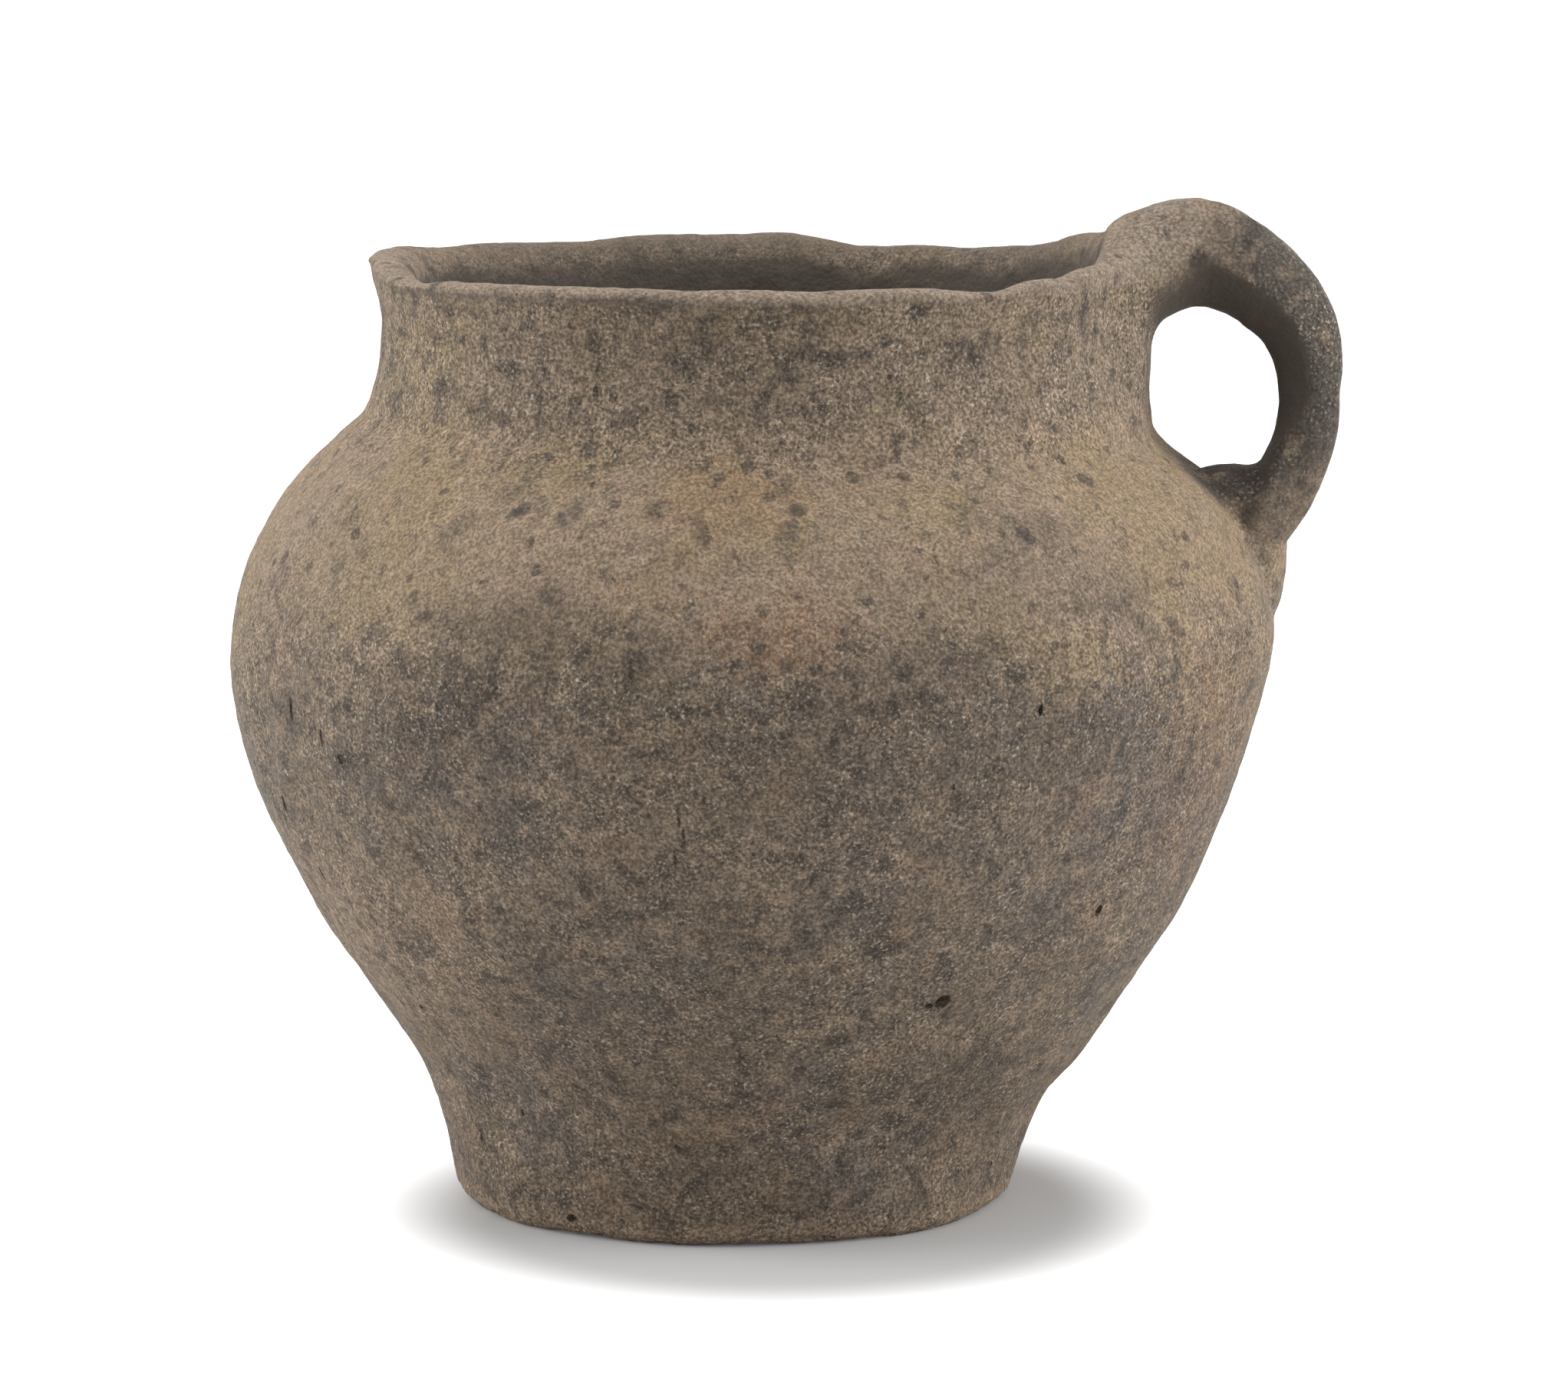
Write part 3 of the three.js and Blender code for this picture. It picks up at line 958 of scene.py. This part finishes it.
class OLLA_OT_clay(bpy.types.Operator):
    """Mix the fired clay: its tones by height, its fire marks, its grits and its grain"""

    bl_idname = "olla.clay"
    bl_label = "Mix the fired clay"

    def ground(self, bench, clay, point, height):
        """Clean clay on the neck and shoulder over smoked clay on the belly and foot"""
        broad, hazy, warm = bench.noises(point, 24, 2)
        blotch, flush, ember = bench.noises(point, 9, 3)
        speckle = bench.noise(point, 2.2, 3)
        level = bench.math("MULTIPLY_ADD", broad, 40, bench.math("MULTIPLY_ADD", blotch, 30, height))
        level = bench.math("MULTIPLY_ADD", speckle, 52, level)
        smoked = bench.tint(bench.ramp(height, 22, 78), clay.olive, clay.brown)
        smoked = bench.wash(smoked, clay.haze, bench.ramp(hazy, 0.48, 0.66), 0.6)
        smoked = bench.wash(smoked, clay.tan, bench.ramp(flush, 0.52, 0.7), 0.45)
        smoked = bench.wash(smoked, clay.rust, bench.ramp(ember, 0.53, 0.7), 0.22)
        clean = bench.tint(bench.ramp(warm, 0.42, 0.62), clay.tan, clay.ochre)
        clean = bench.wash(clean, clay.brown, bench.ramp(height, 134, 146), 0.55)
        return bench.tint(bench.ramp(level, 146, 178), smoked, clean)

    def marks(self, bench, clay, ground, clouds, dots, point):
        """Lay the fire clouds, flushes and soot spots where the fire left them"""
        ragged = bench.ramp(bench.noise(point, 2.2, 3), 0.3, 0.62)
        for name, degrees, height, wide, tall, strength in FIRE_MARKS:
            chart = clouds if wide > BROAD_MARK else dots
            mark = bench.mark(chart, (degrees, height, 0), (wide, tall, 1))
            share = bench.math("MULTIPLY_ADD", ragged, 0.55 * strength, 0.45 * strength)
            ground = bench.wash(ground, getattr(clay, name), mark, share)
        return ground

    def spots(self, bench, clay, ground, point, height, coarse):
        """Scatter soot spots, mottles, hair cracks and pale grits over the wall"""
        ragged = bench.wander(point, 1.6, 1.6)
        upper = bench.ramp(height, 75, 118)
        for size, wide, share, strength in SOOT_SPOTS:
            distance, chance = bench.cells(ragged, size)
            reach = bench.product(bench.ramp(chance, share, 1.0), wide)
            spot = bench.ramp(bench.math("SUBTRACT", distance, reach), 0.02, -0.06)
            ground = bench.wash(ground, clay.soot, spot, strength, upper)
        dark, pale, crack = bench.noises(point, 4.2, 3)
        ground = bench.wash(ground, clay.soot, bench.ramp(dark, 0.53, 0.66), 0.6, coarse)
        ground = bench.wash(ground, clay.tan, bench.ramp(pale, 0.53, 0.66), 0.48)
        hair = bench.ramp(bench.math("ABSOLUTE", bench.math("SUBTRACT", crack, 0.5), 0.0), 0.02, 0.006)
        ground = bench.wash(ground, clay.soot, hair, bench.ramp(dark, 0.52, 0.6), 0.5)
        distance, chance = bench.cells(ragged, 8.0)
        reach = bench.product(bench.ramp(chance, 0.8, 1.0), 0.07)
        grit = bench.ramp(bench.math("SUBTRACT", distance, reach), 0.02, -0.03)
        return bench.wash(ground, clay.chalk, grit, 0.5)

    def grain(self, bench, clay, ground, point, coarse):
        """The salt and pepper of the coarse clay"""
        thick = bench.ramp(bench.noise(point, 11, 2), 0.36, 0.62)
        crowd = bench.product(bench.math("MULTIPLY_ADD", thick, 0.6, 0.4), coarse)
        salt, pepper, shade = bench.noises(point, 0.56, 3)
        ground = bench.wash(ground, clay.soot, bench.ramp(pepper, 0.52, 0.62), crowd, 0.7)
        ground = bench.wash(ground, clay.salt, bench.ramp(salt, 0.55, 0.66), crowd, 0.62)
        mottle = bench.noise(point, 1.9, 3)
        fine = bench.math("MULTIPLY_ADD", coarse, 0.5, 0.5)
        tones = ((shade, 0.15, 0.58, 1.42, fine), (mottle, 0.22, 0.78, 1.22, coarse))
        for value, wide, low, high, share in tones:
            level = bench.ramp(value, 0.5 - wide, 0.5 + wide)
            tone = bench.math("MULTIPLY_ADD", level, high - low, low)
            ground = bench.tint(share, ground, bench.grey(tone), "MULTIPLY")
        return ground

    def chart(self, bench, point):
        """Degrees round the pot and heights, read at a place that may wander"""
        wide, deep, tall = bench.parts(point)
        degrees = bench.product(bench.math("ARCTAN2", wide, bench.product(deep, -1)), 180 / math.pi)
        return bench.lay("ShaderNodeCombineXYZ", {"X": degrees, "Y": tall}).outputs["Vector"]

    def smoke(self, bench, clay, ground, point, along):
        """Soot and dark clay on the handle, thickest on the face that looks into the finger gap, where
        painted shade is laid with the soot, painted shade in the crease beside the lower root, and ash on its
        top
        """
        wide, deep, tall = bench.parts(bench.wander(point, 5, 4))
        near = bench.ramp(bench.math("ABSOLUTE", deep, 0.0), 16, 9)
        flat = bench.lay("ShaderNodeCombineXYZ", {"X": wide, "Z": tall}).outputs["Vector"]
        away = bench.far(flat, GAP_MIDDLE)
        inner = bench.product(bench.ramp(away, 21.5, 15.5), bench.ramp(along, 72, 81), near)
        limb = bench.product(bench.ramp(wide, 79, 90), bench.ramp(tall, 124, 133), near)
        ground = bench.wash(ground, clay.smoke, limb, 0.8)
        tongue = bench.product(bench.ramp(wide, 88, 92), bench.ramp(tall, 115, 120), near)
        ground = bench.wash(ground, clay.smoke, tongue, 0.45)
        # Painted shade: soot colour laid in the crease beside the lower root, where shade falls
        beside = bench.math("ABSOLUTE", bench.math("SUBTRACT", wide, CREASE_OUT), 0.0)
        crease = bench.product(bench.ramp(beside, 2.4, 0.8), bench.ramp(tall, 117, 121), near)
        ground = bench.wash(ground, clay.soot, crease, 0.7)
        # Soot and painted shade on the faces that look into the finger gap
        ground = bench.wash(ground, clay.soot, inner, 0.97)
        top = bench.ramp(bench.far(flat, HANDLE_TOP), 10, 4)
        return bench.wash(ground, clay.ash, top, 0.3)

    def execute(self, context):
        clay = context.scene.olla_clay
        material = bpy.data.materials.new("fired_clay")
        material.use_nodes = True
        bench = Bench(material.node_tree)
        shader = material.node_tree.nodes["Principled BSDF"]

        coordinates = bench.lay("ShaderNodeTexCoord")
        point = bench.lay(
            "ShaderNodeMapping", {"Vector": coordinates.outputs["Object"], "Scale": (1 / MM, 1 / MM, 1 / MM)}
        ).outputs["Vector"]
        along, deep, height = bench.parts(point)
        dots = bench.wander(point, 3, 2)
        clouds = bench.wander(dots, 18, 12)

        ground = self.ground(bench, clay, point, height)
        ground = self.marks(bench, clay, ground, self.chart(bench, clouds), self.chart(bench, dots), point)
        # Soot, dark clay and painted shade on the handle
        ground = self.smoke(bench, clay, ground, point, along)

        # The shoulder is worn smooth, and so is the lip; the rest is coarser
        smooth = bench.product(bench.ramp(height, 100, 118), bench.ramp(height, 140, 131))
        worn = bench.ramp(height, *LIP_BAND)
        smooth = bench.math("MAXIMUM", smooth, worn)
        coarse = bench.math("MULTIPLY_ADD", smooth, -0.5, 1.0)

        # The worn lip, paler than the clay beside it, and the edge of the base, paler from wear and from
        # painted bounce light off the floor
        near = bench.product(bench.ramp(along, 78, 66), bench.ramp(deep, 25, -15))
        ground = bench.wash(ground, clay.lip, worn, near, 0.5)
        # Painted bounce light off the floor, partly wear: the lowest millimetres of the base are washed paler
        ground = bench.wash(ground, clay.tan, bench.ramp(height, 7, 1), 0.8)
        ground = self.spots(bench, clay, ground, point, height, coarse)
        ground = self.grain(bench, clay, ground, point, coarse)

        # Painted shade: the faces that look in towards the axis are darkened, and so is the back of the rim
        # away from the handle
        normal = coordinates.outputs["Normal"]
        outward = bench.vector("DOT_PRODUCT", normal, point)
        ground = bench.wash(ground, clay.hollow_shade, bench.ramp(outward, 45, -35), 0.95)
        back_rim_shade = bench.product(bench.ramp(deep, 10, 45), bench.ramp(along, 70, 55))
        ground = bench.wash(ground, clay.hollow_shade, bench.ramp(height, 157, 161), back_rim_shade, 0.5)

        relief = bench.math("MULTIPLY_ADD", bench.noise(point, 0.8, 2), 0.6, bench.noise(point, 2.6, 3))
        bump = bench.lay(
            "ShaderNodeBump", {"Height": relief, "Strength": 0.6, "Distance": 0.6 * MM}
        ).outputs["Normal"]
        roughness = bench.math("MULTIPLY_ADD", bench.noise(point, 3, 2), 0.2, 0.78)
        for name, value in (("Base Color", ground), ("Normal", bump), ("Roughness", roughness)):
            material.node_tree.links.new(value, shader.inputs[name])
        shader.inputs["Specular IOR Level"].default_value = 0.32
        return {"FINISHED"}


class OLLA_OT_stage(bpy.types.Operator):
    """Set the floor, the lights and the camera of the studio"""

    bl_idname = "olla.stage"
    bl_label = "Set the stage"

    def seen(self, bench):
        """Whether a ray shows the background: to the camera, in a reflection or through glass"""
        path = bench.lay("ShaderNodeLightPath")
        mirrored = bench.math("MAXIMUM", path.outputs["Is Glossy Ray"], path.outputs["Is Transmission Ray"])
        return bench.math("MAXIMUM", path.outputs["Is Camera Ray"], mirrored)

    def paper(self, stage):
        """White paper that keeps the pot's shadow and fades into the white background"""
        paper = bpy.data.materials.new("white_paper")
        paper.use_nodes = True
        bench = Bench(paper.node_tree)
        sheet = paper.node_tree.nodes["Principled BSDF"]
        sheet.inputs["Base Color"].default_value = (0.66, 0.66, 0.66, 1)
        sheet.inputs["Roughness"].default_value = 0.9
        sheet.inputs["Specular IOR Level"].default_value = 0.1
        place = bench.lay("ShaderNodeTexCoord").outputs["Object"]
        away = bench.far(place, stage.shade)
        lift = bench.math("MULTIPLY_ADD", bench.ramp(away, *stage.reach), 1 - stage.lift, stage.lift)
        glow = bench.lay("ShaderNodeEmission", {"Strength": bench.math("MULTIPLY", lift, self.seen(bench))})
        both = bench.lay("ShaderNodeAddShader", {0: sheet.outputs["BSDF"], 1: glow.outputs["Emission"]})
        output = paper.node_tree.nodes["Material Output"]
        paper.node_tree.links.new(both.outputs["Shader"], output.inputs["Surface"])
        return paper

    def surround(self, scene, stage):
        """A white studio all round, plain white where it is seen"""
        world = bpy.data.worlds.new("studio")
        scene.world = world
        world.use_nodes = True
        bench = Bench(world.node_tree)
        strength = bench.math("MULTIPLY_ADD", self.seen(bench), stage.backdrop - stage.ambient, stage.ambient)
        background = world.node_tree.nodes["Background"]
        background.inputs["Color"].default_value = (1, 1, 1, 1)
        world.node_tree.links.new(strength, background.inputs["Strength"])

    def execute(self, context):
        scene = context.scene
        stage = scene.olla_stage
        scene.view_settings.view_transform = "Standard"

        floor = fresh(bpy.ops.mesh.primitive_plane_add, size=FLOOR_SIZE, location=(0, 0, 0))
        floor.name = "floor"
        floor.data.materials.append(self.paper(stage))
        self.surround(scene, stage)

        for name, place, size, power in LAMPS:
            bpy.ops.object.light_add(type="AREA", location=place)
            lamp = context.object
            lamp.name = name
            lamp.data.size = size
            lamp.data.energy = getattr(stage, power)
            lamp.rotation_euler = (LAMP_AIM - Vector(place)).to_track_quat("-Z", "Y").to_euler()

        turn = stage.azimuth
        bpy.ops.object.camera_add(
            location=(stage.distance * math.sin(turn), -stage.distance * math.cos(turn), stage.height)
        )
        camera = context.object
        camera.name = "camera"
        yaw = math.atan((PHOTO_WIDTH / 2 - stage.axis_px) / stage.focal_px)
        camera.rotation_euler = (math.pi / 2 - stage.pitch, 0, turn - yaw)
        camera.data.sensor_fit = "HORIZONTAL"
        camera.data.lens = camera.data.sensor_width * stage.focal_px / PHOTO_WIDTH
        camera.data.clip_end = 10
        scene.camera = camera
        return {"FINISHED"}


class OLLA_PT_panel(bpy.types.Panel):
    """The steps of the pot, in the order in which they are made"""

    bl_label = "Hand-built Olla"
    bl_idname = "OLLA_PT_panel"
    bl_space_type = "VIEW_3D"
    bl_region_type = "UI"
    bl_category = "Olla"

    def draw(self, context):
        for step in STEPS:
            self.layout.operator(step.bl_idname)


GROUPS = (
    ("olla_wall", OllaWall),
    ("olla_handle", OllaHandle),
    ("olla_skin", OllaSkin),
    ("olla_clay", OllaClay),
    ("olla_stage", OllaStage),
)
STEPS = (
    OLLA_OT_stage,
    OLLA_OT_clay,
    OLLA_OT_wall,
    OLLA_OT_handle,
    OLLA_OT_lutings,
    OLLA_OT_skin,
    OLLA_OT_pits,
    OLLA_OT_pieces,
)


def register():
    """Register the sizes, the steps and the panel"""
    for name, group in GROUPS:
        bpy.utils.register_class(group)
        setattr(bpy.types.Scene, name, PointerProperty(type=group))
    for step in STEPS:
        bpy.utils.register_class(step)
    bpy.utils.register_class(OLLA_PT_panel)


def unregister():
    """Take the panel, the steps and the sizes away again"""
    bpy.utils.unregister_class(OLLA_PT_panel)
    for step in reversed(STEPS):
        bpy.utils.unregister_class(step)
    for name, group in reversed(GROUPS):
        delattr(bpy.types.Scene, name)
        bpy.utils.unregister_class(group)


def main():
    """Make the pot step by step"""
    register()
    bpy.ops.olla.stage()
    bpy.ops.olla.clay()
    bpy.ops.olla.wall()
    bpy.ops.olla.handle()
    bpy.ops.olla.lutings()
    bpy.ops.olla.skin()
    bpy.ops.olla.pits()
    bpy.ops.olla.pieces()


if __name__ == "__main__":
    main()
